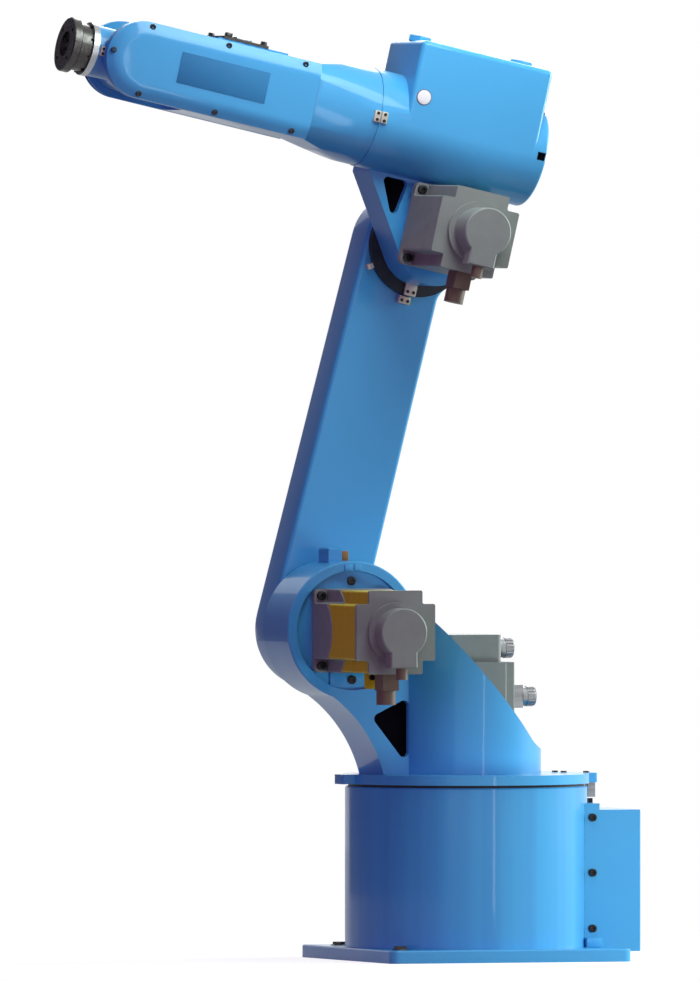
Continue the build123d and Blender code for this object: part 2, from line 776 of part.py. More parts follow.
def write(name, shape):
    """Write one node."""
    export_step(shape, f"parts/{name}.step")


os.makedirs("parts", exist_ok=True)

write("base_plate", base_plate())
write("base_drum", base_drum())
write("bearing_seal", bearing_seal())
write("box_frame", box_frame())
write("connector_box", connector_box())
write("connector_panel", connector_panel())
write("cable_sockets", cable_sockets())
write("base_mark", base_mark())

write("turntable", turntable())
write("turntable_mark", turntable_mark())
write("column", column())
write("pocket_cover", pocket_cover())
write("shoulder_plate", shoulder_plate())
write("shoulder_reducer", shoulder_reducer())
write("j1_motor_body", J1_MOTOR * (motor_flange() + motor_length(MOTOR_FLANGE_T, J1_MOTOR_LEN)))
write("j1_motor_encoder", J1_MOTOR * j1_encoder())
write("j1_motor_plugs", J1_MOTOR * j1_plugs())
write("j2_motor_bell", J2_MOTOR * motor_bell())
write("j2_motor_stator", J2_MOTOR * motor_stator())
write("j2_motor_housing", J2_MOTOR * motor_length(J2_STATOR_END, J2_HOUSING_END))
write("j2_motor_cap", J2_MOTOR * motor_cap(J2_HOUSING_END, J2_CAP_LEN))
write("j2_motor_plugs", J2_MOTOR * motor_plugs(J2_HOUSING_END, J2_PLUG_SETBACK, STATOR_INSET, J2_CAP_END))

write("lower_arm", ARM * lower_arm())
write("shoulder_cover", ARM * far_cover(0))
write("elbow_cover", ARM * far_cover(ARM_LENGTH))
write("elbow_reducer", ARM * elbow_reducer())

write("elbow_housing", ELBOW * elbow_housing())
write("elbow_pocket_cover", ELBOW * elbow_pocket_cover())
write("elbow_end_cover", ELBOW * elbow_end_cover())
write("elbow_lids", ELBOW * elbow_lids())
write("j3_motor_plate", ELBOW * j3_motor_plate())
write("j3_motor_body", J3_MOTOR * (motor_flange() + motor_length(MOTOR_FLANGE_T, J3_BODY_END)))
write("j3_motor_cap", J3_MOTOR * motor_cap(J3_BODY_END, J3_CAP_LEN))
write("j3_motor_plugs", J3_MOTOR * motor_plugs(J3_BODY_END, J3_PLUG_SETBACK, 0, J3_CAP_END))

write("forearm_body", FOREARM * forearm_body())
write("left_side_cover", FOREARM * side_cover())
write("right_side_cover", FOREARM * mirror(side_cover(), Plane.XZ))
write("bracket_pad", FOREARM * bracket_pad())
write("top_bracket", FOREARM * top_bracket())

write("wrist_body", WRIST * wrist_body())
write("wrist_ring", WRIST * wrist_ring())
write("flange_neck", WRIST * flange_neck())
write("tool_flange", WRIST * tool_flange())
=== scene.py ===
"""Studio scene of a floor-mounted six-axis robot arm, dressed over its fixed frame."""

import json
import logging
import math
from dataclasses import dataclass
from enum import Enum
from typing import Iterable

import bmesh
import bpy
from mathutils import Matrix, Vector


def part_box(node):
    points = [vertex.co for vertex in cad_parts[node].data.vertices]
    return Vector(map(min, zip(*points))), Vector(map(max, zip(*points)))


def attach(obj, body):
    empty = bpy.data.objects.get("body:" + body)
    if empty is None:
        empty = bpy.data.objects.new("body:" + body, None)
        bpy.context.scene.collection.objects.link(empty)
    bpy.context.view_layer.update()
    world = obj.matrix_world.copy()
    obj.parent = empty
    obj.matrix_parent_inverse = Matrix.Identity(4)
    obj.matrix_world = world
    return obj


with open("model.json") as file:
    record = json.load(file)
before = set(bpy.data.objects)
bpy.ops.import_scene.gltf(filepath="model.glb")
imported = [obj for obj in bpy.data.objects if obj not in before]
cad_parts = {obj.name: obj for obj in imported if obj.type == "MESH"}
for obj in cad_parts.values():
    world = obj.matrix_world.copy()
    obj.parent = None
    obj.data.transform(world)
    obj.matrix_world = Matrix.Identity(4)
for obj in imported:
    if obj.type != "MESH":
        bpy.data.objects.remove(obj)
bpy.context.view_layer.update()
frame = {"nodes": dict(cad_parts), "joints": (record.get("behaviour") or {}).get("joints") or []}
MM = 0.001
LOG = logging.getLogger("robot_arm")

Colour = tuple[float, float, float]
Point = tuple[float, float, float]
Place = tuple[float, float]
Span = tuple[float, float]
# Radius and height of a screw head; three sides and bevel of a block, all in millimetres.
Head = tuple[float, float]
Block = tuple[float, float, float, float]
# Number of places in a ring, its radius in millimetres and its first angle in degrees.
Ring = tuple[int, float, float]

COAT_ROUGHNESS = 0.05
GRAIN_DETAIL = 4.0
GRAIN_REACH = (0.3, 0.7)
RELIEF_DETAIL = 2.0
RELIEF_STRENGTH = 0.6

# Bevels, rims and recesses of the fasteners, as shares of their own radius or height.
RIM_LEVEL = 0.99
SCREW_BEVEL = 0.12
SCREW_RIM = 0.4
SCREW_SOCKET = 0.55
WASHER_HEIGHT = 0.3
WASHER_BEVEL = 0.05
HEX_BEVEL = 0.1
NUT_BEVEL = 0.06
RIB_MARGIN = 0.03
RIB_DEPTH = 0.06
SCREW_SIDES = 18
WASHER_SIDES = 28
HEX_SIDES = 6

SIDE_TILT = 0.1
MERGE_REACH = 0.00002
SHARP_ANGLE = 28.0


class Body(Enum):
    """Rigid bodies of the arm, from the floor to the tool."""

    BASE = "base"
    TURRET = "turret"
    LOWER_ARM = "lower_arm"
    ELBOW = "elbow"
    FOREARM = "forearm"
    WRIST = "wrist"
    FLANGE = "flange"


class Slot(Enum):
    """Material slots of the record."""

    BLUE = "blue_paint"
    GREY = "motor_paint"
    YELLOW = "yellow_paint"
    DARK = "dark_steel"
    BRIGHT = "bright_steel"
    PLUG_METAL = "plug_metal"
    PLUG_PLASTIC = "plug_plastic"
    SEAL = "black_seal"


class Facing(Enum):
    """Ways that a fastener can point, as the turn that lifts +Z that way."""

    UP = Matrix.Identity(4)
    LEFT = Matrix.Rotation(math.radians(-90), 4, "X")
    RIGHT = Matrix.Rotation(math.radians(90), 4, "X")
    FRONT = Matrix.Rotation(math.radians(90), 4, "Y")
    BACK = Matrix.Rotation(math.radians(-90), 4, "Y")


CHEEKS = ((1, Facing.LEFT), (-1, Facing.RIGHT))


def smooth_range(
    tree: bpy.types.NodeTree, value: bpy.types.NodeSocket, reach: Span, ends: Span
) -> bpy.types.NodeSocket:
    """Add a smooth step from one value to another.

    Args:
        tree: The node tree to add to.
        value: The socket that drives the step.
        reach: Where the step begins and where it ends.
        ends: The values before and after it.

    Returns:
        The socket that carries the result.
    """
    step = tree.nodes.new("ShaderNodeMapRange")
    step.interpolation_type = "SMOOTHSTEP"
    step.inputs["From Min"].default_value, step.inputs["From Max"].default_value = reach
    step.inputs["To Min"].default_value, step.inputs["To Max"].default_value = ends
    tree.links.new(value, step.inputs["Value"])
    return step.outputs["Result"]


@dataclass(frozen=True)
class Finish:
    """A procedural surface: two tones mixed by grain, with fine relief.

    Lengths are in metres, and colours are linear.
    """

    name: str
    slot: Slot
    colour: Colour
    tone: Colour
    roughness: float
    metallic: float = 0.0
    coat: float = 0.0
    specular: float = 0.5
    grain: float = 18.0
    stretch: Point = (1.0, 1.0, 1.0)
    mottle: float = 0.35
    relief: float = 0.00002
    relief_grain: float = 900.0
    rough_spread: float = 0.06

    def material(self) -> bpy.types.Material:
        """Make the node material, or find it if it is already made.

        Returns:
            The material of this finish.
        """
        found = bpy.data.materials.get(self.name)
        if found:
            return found
        material = bpy.data.materials.new(self.name)
        material.use_nodes = True
        nodes = material.node_tree.nodes
        links = material.node_tree.links
        shader = nodes["Principled BSDF"]
        shader.inputs["Metallic"].default_value = self.metallic
        shader.inputs["Specular IOR Level"].default_value = self.specular
        shader.inputs["Coat Weight"].default_value = self.coat
        shader.inputs["Coat Roughness"].default_value = COAT_ROUGHNESS
        place = nodes.new("ShaderNodeTexCoord")
        spread = nodes.new("ShaderNodeMapping")
        spread.inputs["Scale"].default_value = self.stretch
        links.new(place.outputs["Object"], spread.inputs["Vector"])
        grain = nodes.new("ShaderNodeTexNoise")
        grain.inputs["Scale"].default_value = self.grain
        grain.inputs["Detail"].default_value = GRAIN_DETAIL
        links.new(spread.outputs["Vector"], grain.inputs["Vector"])
        share = smooth_range(material.node_tree, grain.outputs["Fac"], GRAIN_REACH, (0.0, self.mottle))
        tint = nodes.new("ShaderNodeMix")
        tint.data_type = "RGBA"
        tint.inputs["A"].default_value = (*self.colour, 1.0)
        tint.inputs["B"].default_value = (*self.tone, 1.0)
        links.new(share, tint.inputs["Factor"])
        links.new(tint.outputs["Result"], shader.inputs["Base Color"])
        ends = (self.roughness - self.rough_spread, self.roughness + self.rough_spread)
        dull = smooth_range(material.node_tree, grain.outputs["Fac"], GRAIN_REACH, ends)
        links.new(dull, shader.inputs["Roughness"])
        fine = nodes.new("ShaderNodeTexNoise")
        fine.inputs["Scale"].default_value = self.relief_grain
        fine.inputs["Detail"].default_value = RELIEF_DETAIL
        links.new(spread.outputs["Vector"], fine.inputs["Vector"])
        bump = nodes.new("ShaderNodeBump")
        bump.inputs["Distance"].default_value = self.relief
        bump.inputs["Strength"].default_value = RELIEF_STRENGTH
        links.new(fine.outputs["Fac"], bump.inputs["Height"])
        links.new(bump.outputs["Normal"], shader.inputs["Normal"])
        return material


PAINT = Finish(
    "sky_blue_gloss", Slot.BLUE, (0.066, 0.38, 0.7), (0.06, 0.35, 0.65), 0.34,
    coat=0.4, specular=0.16, grain=5.0, relief=0.00001,
)
# Darker vertical streaks in the drum's paint are painted reflection bands.
DRUM_PAINT_WITH_REFLECTION_STREAKS = Finish(
    "sky_blue_drum_painted_reflection_streaks", Slot.BLUE, (0.066, 0.38, 0.7), (0.058, 0.29, 0.6), 0.34,
    coat=0.4, specular=0.16, grain=30.0, stretch=(1.0, 1.0, 0.02), mottle=0.6, relief=0.00001,
)
PLATE_BLUE = Finish(
    "deep_blue_plate", Slot.BLUE, (0.036, 0.2, 0.41), (0.033, 0.19, 0.39), 0.55, specular=0.15,
)
MOTOR = Finish(
    "motor_grey_satin", Slot.GREY, (0.228, 0.255, 0.237), (0.192, 0.213, 0.199), 0.48,
    specular=0.35, grain=40.0, relief=0.00005,
)
STATOR = Finish(
    "stator_mustard", Slot.YELLOW, (0.6, 0.53, 0.024), (0.52, 0.45, 0.02), 0.5,
    specular=0.1, grain=220.0, stretch=(0.05, 1.0, 0.05),
)
DARK_STEEL = Finish(
    "blackened_steel", Slot.DARK, (0.085, 0.083, 0.08), (0.055, 0.054, 0.053), 0.3,
    metallic=0.9, grain=120.0, mottle=0.6,
)
RING_STEEL = Finish(
    "oiled_ring", Slot.DARK, (0.013, 0.015, 0.024), (0.022, 0.024, 0.034), 0.42,
    metallic=0.3, specular=0.3, grain=50.0,
)
# Near-black sheets that paint the shade inside the pockets and the end cover's slots.
POCKET_PAINTED_SHADE = Finish("painted_pocket_shade", Slot.DARK, (0.004, 0.004, 0.006), (0.006, 0.006, 0.009), 0.9, specular=0.0)
BRIGHT_STEEL = Finish(
    "turned_steel", Slot.BRIGHT, (0.42, 0.44, 0.47), (0.3, 0.32, 0.35), 0.3,
    metallic=1.0, grain=240.0, stretch=(3.0, 0.3, 0.3),
)
PLUG_METAL = Finish(
    "nickel_plug", Slot.PLUG_METAL, (0.4, 0.41, 0.42), (0.26, 0.27, 0.28), 0.34,
    metallic=0.9, grain=160.0, stretch=(0.1, 1.0, 1.0), mottle=0.8,
)
PLUG_PLASTIC = Finish(
    "plug_umber", Slot.PLUG_PLASTIC, (0.15, 0.11, 0.08), (0.11, 0.083, 0.065), 0.5,
    specular=0.3, grain=60.0,
)
SEAL = Finish("black_lip_seal", Slot.SEAL, (0.012, 0.012, 0.014), (0.02, 0.02, 0.022), 0.6)
SCREW = Finish("black_oxide_screw", Slot.DARK, (0.02, 0.02, 0.024), (0.036, 0.036, 0.04), 0.38, metallic=0.7)
ANCHOR = Finish("oiled_anchor", Slot.DARK, (0.1, 0.095, 0.085), (0.06, 0.058, 0.052), 0.4, metallic=0.8)
MARK = Finish("mark_aluminium", Slot.PLUG_METAL, (0.55, 0.5, 0.41), (0.48, 0.43, 0.35), 0.45, metallic=0.2)
WHITE_DISC = Finish("white_enamel", Slot.BRIGHT, (0.8, 0.8, 0.8), (0.74, 0.74, 0.75), 0.35, coat=0.3)
DISC_RIM = Finish("disc_edge", Slot.DARK, (0.07, 0.06, 0.12), (0.06, 0.05, 0.1), 0.4)
BUMPER = Finish("amber_bumper", Slot.PLUG_PLASTIC, (0.27, 0.13, 0.03), (0.2, 0.09, 0.025), 0.45)

NODE_FINISHES: dict[str, Finish] = {
    # The drum's paint carries painted reflection streaks.
    "base_drum": DRUM_PAINT_WITH_REFLECTION_STREAKS,
    "bearing_seal": SEAL,
    "cable_sockets": PLUG_METAL,
    "base_mark": RING_STEEL,
    "turntable_mark": PLUG_METAL,
    # The two pocket covers are near-black sheets that paint the shade in the pockets.
    "pocket_cover": POCKET_PAINTED_SHADE,
    "elbow_pocket_cover": POCKET_PAINTED_SHADE,
    "shoulder_reducer": RING_STEEL,
    "j1_motor_body": MOTOR,
    "j1_motor_encoder": MOTOR,
    "j1_motor_plugs": PLUG_METAL,
    "j2_motor_bell": MOTOR,
    "j2_motor_stator": STATOR,
    "j2_motor_housing": MOTOR,
    "j2_motor_cap": MOTOR,
    "j2_motor_plugs": PLUG_PLASTIC,
    "elbow_reducer": RING_STEEL,
    "j3_motor_body": MOTOR,
    "j3_motor_cap": MOTOR,
    "j3_motor_plugs": PLUG_PLASTIC,
    "top_bracket": DARK_STEEL,
    "wrist_ring": BRIGHT_STEEL,
    "flange_neck": DARK_STEEL,
    "tool_flange": DARK_STEEL,
}


def joint(name: str) -> dict:
    """Find a joint of the frame.

    Args:
        name: The joint's name in the record.

    Returns:
        The joint's entry, with its place and axis.
    """
    return next(entry for entry in frame["joints"] if entry["name"] == name)


def link_frame(origin: Iterable[float], forward: Iterable[float]) -> Matrix:
    """Make the frame of a link that pitches about Y.

    Args:
        origin: Where the frame's zero is, in metres.
        forward: The link's own x direction.

    Returns:
        The matrix from the link's own axes to the object's.
    """
    x_axis = Vector(forward).normalized()
    y_axis = Vector((0.0, 1.0, 0.0))
    z_axis = x_axis.cross(y_axis)
    turn = Matrix((x_axis, y_axis, z_axis)).transposed().to_4x4()
    return Matrix.Translation(Vector(origin)) @ turn


SHOULDER_POS = Vector(joint("shoulder_tilt")["pos_m"])
ELBOW_POS = Vector(joint("elbow_tilt")["pos_m"])
ROLL_AXIS = Vector(joint("forearm_roll")["axis"])
ARM_UP = (ELBOW_POS - SHOULDER_POS).normalized()
GROUND = Matrix.Identity(4)
SHOULDER = Matrix.Translation(SHOULDER_POS)
LOWER_ARM = link_frame(SHOULDER_POS, Vector((ARM_UP.z, 0.0, -ARM_UP.x)))
ELBOW = link_frame(ELBOW_POS, ROLL_AXIS)
FOREARM = link_frame(joint("forearm_roll")["pos_m"], ROLL_AXIS)
WRIST = link_frame(joint("wrist_bend")["pos_m"], ROLL_AXIS)


def spot(link: Matrix, x: float, y: float, z: float, facing: Facing = Facing.UP) -> Matrix:
    """Place something on a link.

    Args:
        link: The link's frame.
        x: Millimetres along the link's own x.
        y: Millimetres to the left.
        z: Millimetres along the link's own z.
        facing: Which way the thing points.

    Returns:
        The matrix that puts it there.
    """
    return link @ Matrix.Translation(Vector((x, y, z)) * MM) @ facing.value


def rounded_bar(radius: float, height: float, edge: float, segments: int) -> bmesh.types.BMesh:
    """Model an upright round bar with a bevelled top.

    Args:
        radius: Radius in millimetres.
        height: Height above zero in millimetres.
        edge: Width of the bevel in millimetres.
        segments: Number of sides.

    Returns:
        The new bmesh, in metres.
    """
    shape = bmesh.new()
    lift = Matrix.Translation((0.0, 0.0, height * MM / 2))
    bmesh.ops.create_cone(
        shape, cap_ends=True, segments=segments, radius1=radius * MM, radius2=radius * MM, depth=height * MM,
        matrix=lift,
    )
    level = height * MM * RIM_LEVEL
    rim = [line for line in shape.edges if all(vert.co.z > level for vert in line.verts)]
    bmesh.ops.bevel(
        shape, geom=rim, offset=edge * MM, affect="EDGES", segments=2, profile=0.5, material=-1,
    )
    return shape


def top_face(shape: bmesh.types.BMesh) -> bmesh.types.BMFace:
    """Find the highest face of a shape."""
    return max(shape.faces, key=lambda face: face.calc_center_median().z)


def sink(shape: bmesh.types.BMesh, margin: float, depth: float) -> None:
    """Sink a recess into a shape's top face.

    Args:
        shape: The bmesh to change.
        margin: Width of the rim that stays, in millimetres.
        depth: Depth of the recess in millimetres.
    """
    face = top_face(shape)
    bmesh.ops.inset_region(shape, faces=[face], thickness=margin * MM)
    pushed = bmesh.ops.extrude_face_region(shape, geom=[face])
    moved = [item for item in pushed["geom"] if isinstance(item, bmesh.types.BMVert)]
    bmesh.ops.translate(shape, verts=moved, vec=(0.0, 0.0, -depth * MM))
    bmesh.ops.delete(shape, geom=[face], context="FACES")


def cap_screw(radius: float, height: float) -> bmesh.types.BMesh:
    """Model a socket cap screw's head, seated at zero.

    Args:
        radius: Radius of the head in millimetres.
        height: Height of the head in millimetres.

    Returns:
        The new bmesh.
    """
    shape = rounded_bar(radius, height, radius * SCREW_BEVEL, SCREW_SIDES)
    sink(shape, radius * SCREW_RIM, height * SCREW_SOCKET)
    return shape


def hex_bolt(radius: float, height: float, washer: float) -> bmesh.types.BMesh:
    """Model a hexagon bolt head on a round washer, seated at zero.

    Args:
        radius: Radius of the head over its corners in millimetres.
        height: Height of the head in millimetres.
        washer: Radius of the washer in millimetres.

    Returns:
        The new bmesh.
    """
    washer_height = height * WASHER_HEIGHT
    shape = rounded_bar(washer, washer_height, washer * WASHER_BEVEL, WASHER_SIDES)
    head = rounded_bar(radius, height, radius * HEX_BEVEL, HEX_SIDES)
    bmesh.ops.translate(head, verts=head.verts, vec=(0.0, 0.0, washer_height * MM))
    return gather([shape, head])


def rounded_block(x: float, y: float, z: float, edge: float) -> bmesh.types.BMesh:
    """Model a block with bevelled edges, standing on zero.

    Args:
        x: Length in millimetres.
        y: Width in millimetres.
        z: Height in millimetres.
        edge: Width of the bevel in millimetres.

    Returns:
        The new bmesh.
    """
    shape = bmesh.new()
    size = Matrix.Diagonal((x * MM, y * MM, z * MM, 1.0))
    bmesh.ops.create_cube(shape, size=1.0, matrix=Matrix.Translation((0.0, 0.0, z * MM / 2)) @ size)
    bmesh.ops.bevel(
        shape, geom=shape.edges[:], offset=edge * MM, affect="EDGES", segments=2, profile=0.5, material=-1,
    )
    return shape


def knurled_sleeve(radius: float, length: float, ribs: int) -> bmesh.types.BMesh:
    """Model a coupling nut with grip ribs, standing on zero.

    Args:
        radius: Radius over the ribs in millimetres.
        length: Length in millimetres.
        ribs: Number of ribs.

    Returns:
        The new bmesh.
    """
    shape = rounded_bar(radius, length, radius * NUT_BEVEL, 2 * ribs)
    sides = [face for face in shape.faces if abs(face.normal.z) < SIDE_TILT]
    sides.sort(key=lambda face: math.atan2(face.calc_center_median().y, face.calc_center_median().x))
    bmesh.ops.inset_individual(
        shape, faces=sides[::2], thickness=radius * RIB_MARGIN * MM, depth=-radius * RIB_DEPTH * MM,
    )
    return shape


def gather(shapes: list[bmesh.types.BMesh]) -> bmesh.types.BMesh:
    """Join several shapes into one.

    Args:
        shapes: The shapes, which are freed.

    Returns:
        One bmesh that holds them all.
    """
    whole = bmesh.new()
    for shape in shapes:
        carrier = bpy.data.meshes.new("carrier")
        shape.to_mesh(carrier)
        shape.free()
        whole.from_mesh(carrier)
        bpy.data.meshes.remove(carrier)
    return whole


def repeat(shape: bmesh.types.BMesh, places: Iterable[Matrix]) -> bmesh.types.BMesh:
    """Copy a shape to several places.

    Args:
        shape: The shape to copy, which is freed.
        places: A matrix for each copy.

    Returns:
        One bmesh with every copy.
    """
    carrier = bpy.data.meshes.new("carrier")
    shape.to_mesh(carrier)
    shape.free()
    whole = bmesh.new()
    for place in places:
        start = len(whole.verts)
        whole.from_mesh(carrier)
        whole.verts.ensure_lookup_table()
        bmesh.ops.transform(whole, matrix=place, verts=whole.verts[start:])
    bpy.data.meshes.remove(carrier)
    return whole


def add_piece(name: str, shape: bmesh.types.BMesh, finish: Finish, body: Body) -> bpy.types.Object:
    """Turn a shape into a finished piece that rides on a body.

    Args:
        name: The piece's name.
        shape: Its shape in the object's frame, which is freed.
        finish: Its surface.
        body: The body that it moves with.

    Returns:
        The new object.
    """
    bmesh.ops.recalc_face_normals(shape, faces=shape.faces)
    mesh = bpy.data.meshes.new(name)
    shape.to_mesh(mesh)
    shape.free()
    piece = bpy.data.objects.new(name, mesh)
    bpy.context.scene.collection.objects.link(piece)
    mesh.materials.append(finish.material())
    smooth_by_angle(piece)
    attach(piece, body.value)
    LOG.info("piece %s on %s: %d faces", name, body.value, len(mesh.polygons))
    return piece


def smooth_by_angle(piece: bpy.types.Object) -> None:
    """Shade a piece smooth except across its sharp edges.

    Args:
        piece: The object to shade.
    """
    piece.data.shade_smooth()
    merge = piece.modifiers.new("merge", "WELD")
    merge.merge_threshold = MERGE_REACH
    split = piece.modifiers.new("sharp_edges", "EDGE_SPLIT")
    split.split_angle = math.radians(SHARP_ANGLE)


def ring_of(link: Matrix, ring: Ring, offset: float, facing: Facing) -> list[Matrix]:
    """Place things in a ring round the way that they point.

    Args:
        link: The link's frame, with its zero on the ring's axis.
        ring: Number of places, radius in millimetres and first angle in degrees.
        offset: Distance along the axis in millimetres.
        facing: The way that each thing points, which is the ring's axis.

    Returns:
        A matrix for each place.
    """
    count, radius, start = ring
    places = []
    for index in range(count):
        angle = math.radians(start + 360.0 * index / count)
        x, y = radius * MM * math.cos(angle), radius * MM * math.sin(angle)
        places.append(link @ facing.value @ Matrix.Translation((x, y, offset * MM)))
    return places


def corners_of(link: Matrix, corner: float, face: float, rise: float) -> list[Matrix]:
    """Place things at the corners of a motor's square flange, facing left.

    Args:
        link: The link's frame, with its zero below or on the motor's axis.
        corner: Distance of a corner from that axis along x, and along z, in millimetres.
        face: How far to the left the flange's face is, in millimetres.
        rise: Height of the motor's axis in millimetres.

    Returns:
        A matrix for each corner.
    """
    return [
        spot(link, x * corner, face, rise + z * corner, Facing.LEFT)
        for x in (-1, 1)
        for z in (-1, 1)
    ]


@dataclass
class Pedestal:
    """Base plate, drum and connector box: their fasteners and caps. Millimetres."""

    plate_top: float = 20.0
    anchor: tuple[float, float, float] = (10.0, 4.5, 13.0)
    anchor_places: tuple[Place, ...] = ((160.0, 140.0), (160.0, -140.0), (-160.0, -140.0))
    frame_x: float = -173.0
    frame_side: float = 100.0
    frame_screw: Head = (6.3, 4.5)
    frame_screw_heights: tuple[float, ...] = (49.0, 136.0, 222.0)
    foot_side: float = 105.0
    foot: Block = (26.0, 12.0, 15.0, 1.2)
    panel_screw: Head = (4.5, 1.5)
    panel_inset: float = 8.0
    socket_flange: float = 4.0
    nut_inset: float = 3.5
    nut_length: float = 2.5
    nut_ribs: int = 20

    def build(self) -> None:
        """Build every piece of the pedestal."""
        self.anchors()
        self.frame_pieces()
        self.panel_screws()
        self.socket_nuts()

    def anchors(self) -> None:
        """Floor bolts with washers, in three of the plate's four holes."""
        places = [spot(GROUND, x, y, self.plate_top) for x, y in self.anchor_places]
        add_piece("floor_bolts", repeat(hex_bolt(*self.anchor), places), ANCHOR, Body.BASE)

    def frame_pieces(self) -> None:
        """Three screws in each cheek of the box frame, and the low lug at its foot."""
        screws = [
            spot(GROUND, self.frame_x, side * self.frame_side, height, facing)
            for side, facing in CHEEKS
            for height in self.frame_screw_heights
        ]
        add_piece("box_frame_screws", repeat(cap_screw(*self.frame_screw), screws), SCREW, Body.BASE)
        feet = [spot(GROUND, self.frame_x, side * self.foot_side, self.plate_top) for side in (-1, 1)]
        add_piece("frame_feet", repeat(rounded_block(*self.foot), feet), PAINT, Body.BASE)

    def panel_screws(self) -> None:
        """Screws round the edge of the connector panel."""
        low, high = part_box("connector_panel")
        inset = self.panel_inset * MM
        places = [
            Matrix.Translation((low.x, y, z)) @ Facing.BACK.value
            for y in (low.y + inset, 0.0, high.y - inset)
            for z in (low.z + inset, high.z - inset)
        ]
        add_piece("panel_screws", repeat(cap_screw(*self.panel_screw), places), SCREW, Body.BASE)

    def socket_nuts(self) -> None:
        """Ribbed coupling nuts round the two cable sockets."""
        low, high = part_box("cable_sockets")
        height = (low.z + high.z) / 2
        radius = (high.z - low.z) / 2
        reach = (high.y - low.y) / 2 - radius
        face = high.x - self.socket_flange * MM
        places = [Matrix.Translation((face, side * reach, height)) @ Facing.BACK.value for side in (-1, 1)]
        nut = knurled_sleeve(radius / MM - self.nut_inset, self.nut_length, self.nut_ribs)
        add_piece("socket_nuts", repeat(nut, places), DARK_STEEL, Body.BASE)


@dataclass
class Turret:
    """Turntable, column head and their two motors: fasteners and marks. Millimetres."""

    lug_screw: Head = (5.0, 2.5)
    lug_places: tuple[Place, ...] = ((-200.0, 0.0), (-170.0, -20.0), (-165.0, -46.0))
    plate_face: float = 31.0
    plate_screw: Head = (7.0, 3.0)
    plate_screw_rise: float = 77.0
    foot: Block = (61.0, 25.0, 3.0, 0.8)
    foot_x: float = 5.0
    motor_screw: Head = (7.0, 8.0)
    motor_corner: float = 54.5
    flange_t: float = 12.0
    bracket: Block = (38.0, 26.0, 4.0, 0.8)
    bracket_place: Point = (4.0, 153.0, -76.0)
    bracket_screw: Head = (4.5, 4.0)
    bracket_screws: tuple[Point, ...] = ((-6.0, 157.0, -71.0), (12.0, 157.0, -71.0))
    tab: Block = (13.0, 10.0, 3.0, 0.6)
    tab_places: tuple[Point, ...] = ((-8.0, 39.0, 98.0), (8.0, 39.0, 98.0))
    bumper: Block = (12.0, 22.0, 17.0, 2.0)
    bumper_place: Point = (-2.5, -14.0, 106.0)
    nut_r: float = 16.0
    nut_length: float = 12.0
    nut_ribs: int = 18
    nut_starts: tuple[Place, ...] = ((-98.0, 410.0), (-62.0, 485.5))

    def build(self) -> None:
        """Build every piece of the turret."""
        self.table_screws()
        self.shoulder_screws()
        self.motor_screws()
        self.stator_bracket()
        self.marks()
        self.plug_nuts()

    def table_screws(self) -> None:
        """Low screws in the turntable's rear lug and beside it."""
        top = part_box("turntable")[1].z / MM
        places = [spot(GROUND, x, y, top) for x, y in self.lug_places]
        add_piece("turntable_screws", repeat(cap_screw(*self.lug_screw), places), SCREW, Body.TURRET)

    def shoulder_screws(self) -> None:
        """Screws above and below the motor, the lower one on its raised foot."""
        foot = spot(SHOULDER, self.foot_x, self.plate_face, -self.plate_screw_rise, Facing.LEFT)
        add_piece("shoulder_foot", repeat(rounded_block(*self.foot), [foot]), PAINT, Body.TURRET)
        foot_top = self.plate_face + self.foot[2]
        places = [
            spot(SHOULDER, 0.0, self.plate_face, self.plate_screw_rise, Facing.LEFT),
            spot(SHOULDER, 0.0, foot_top, -self.plate_screw_rise, Facing.LEFT),
        ]
        add_piece("shoulder_screws", repeat(cap_screw(*self.plate_screw), places), SCREW, Body.TURRET)

    def motor_screws(self) -> None:
        """Screws in the corner channels of the second motor."""
        places = corners_of(SHOULDER, self.motor_corner, self.plate_face + self.flange_t, 0.0)
        add_piece("second_motor_screws", repeat(cap_screw(*self.motor_screw), places), SCREW, Body.TURRET)

    def stator_bracket(self) -> None:
        """Small mustard bracket under the second motor, beside its plug."""
        place = spot(SHOULDER, *self.bracket_place, Facing.LEFT)
        add_piece("stator_bracket", repeat(rounded_block(*self.bracket), [place]), STATOR, Body.TURRET)
        screws = [spot(SHOULDER, *point, Facing.LEFT) for point in self.bracket_screws]
        heads = repeat(cap_screw(*self.bracket_screw), screws)
        add_piece("stator_bracket_screws", heads, SCREW, Body.TURRET)

    def marks(self) -> None:
        """Zero-mark tabs on the head's near rim and the amber bumper of the stop."""
        tabs = [spot(SHOULDER, *point, Facing.LEFT) for point in self.tab_places]
        add_piece("shoulder_marks", repeat(rounded_block(*self.tab), tabs), PAINT, Body.TURRET)
        place = spot(SHOULDER, *self.bumper_place)
        add_piece("stop_bumper", repeat(rounded_block(*self.bumper), [place]), BUMPER, Body.TURRET)

    def plug_nuts(self) -> None:
        """Ribbed nuts on the first motor's two round plugs."""
        places = [spot(GROUND, x, 0.0, z, Facing.BACK) for x, z in self.nut_starts]
        nut = knurled_sleeve(self.nut_r, self.nut_length, self.nut_ribs)
        add_piece("first_motor_nuts", repeat(nut, places), PLUG_METAL, Body.TURRET)


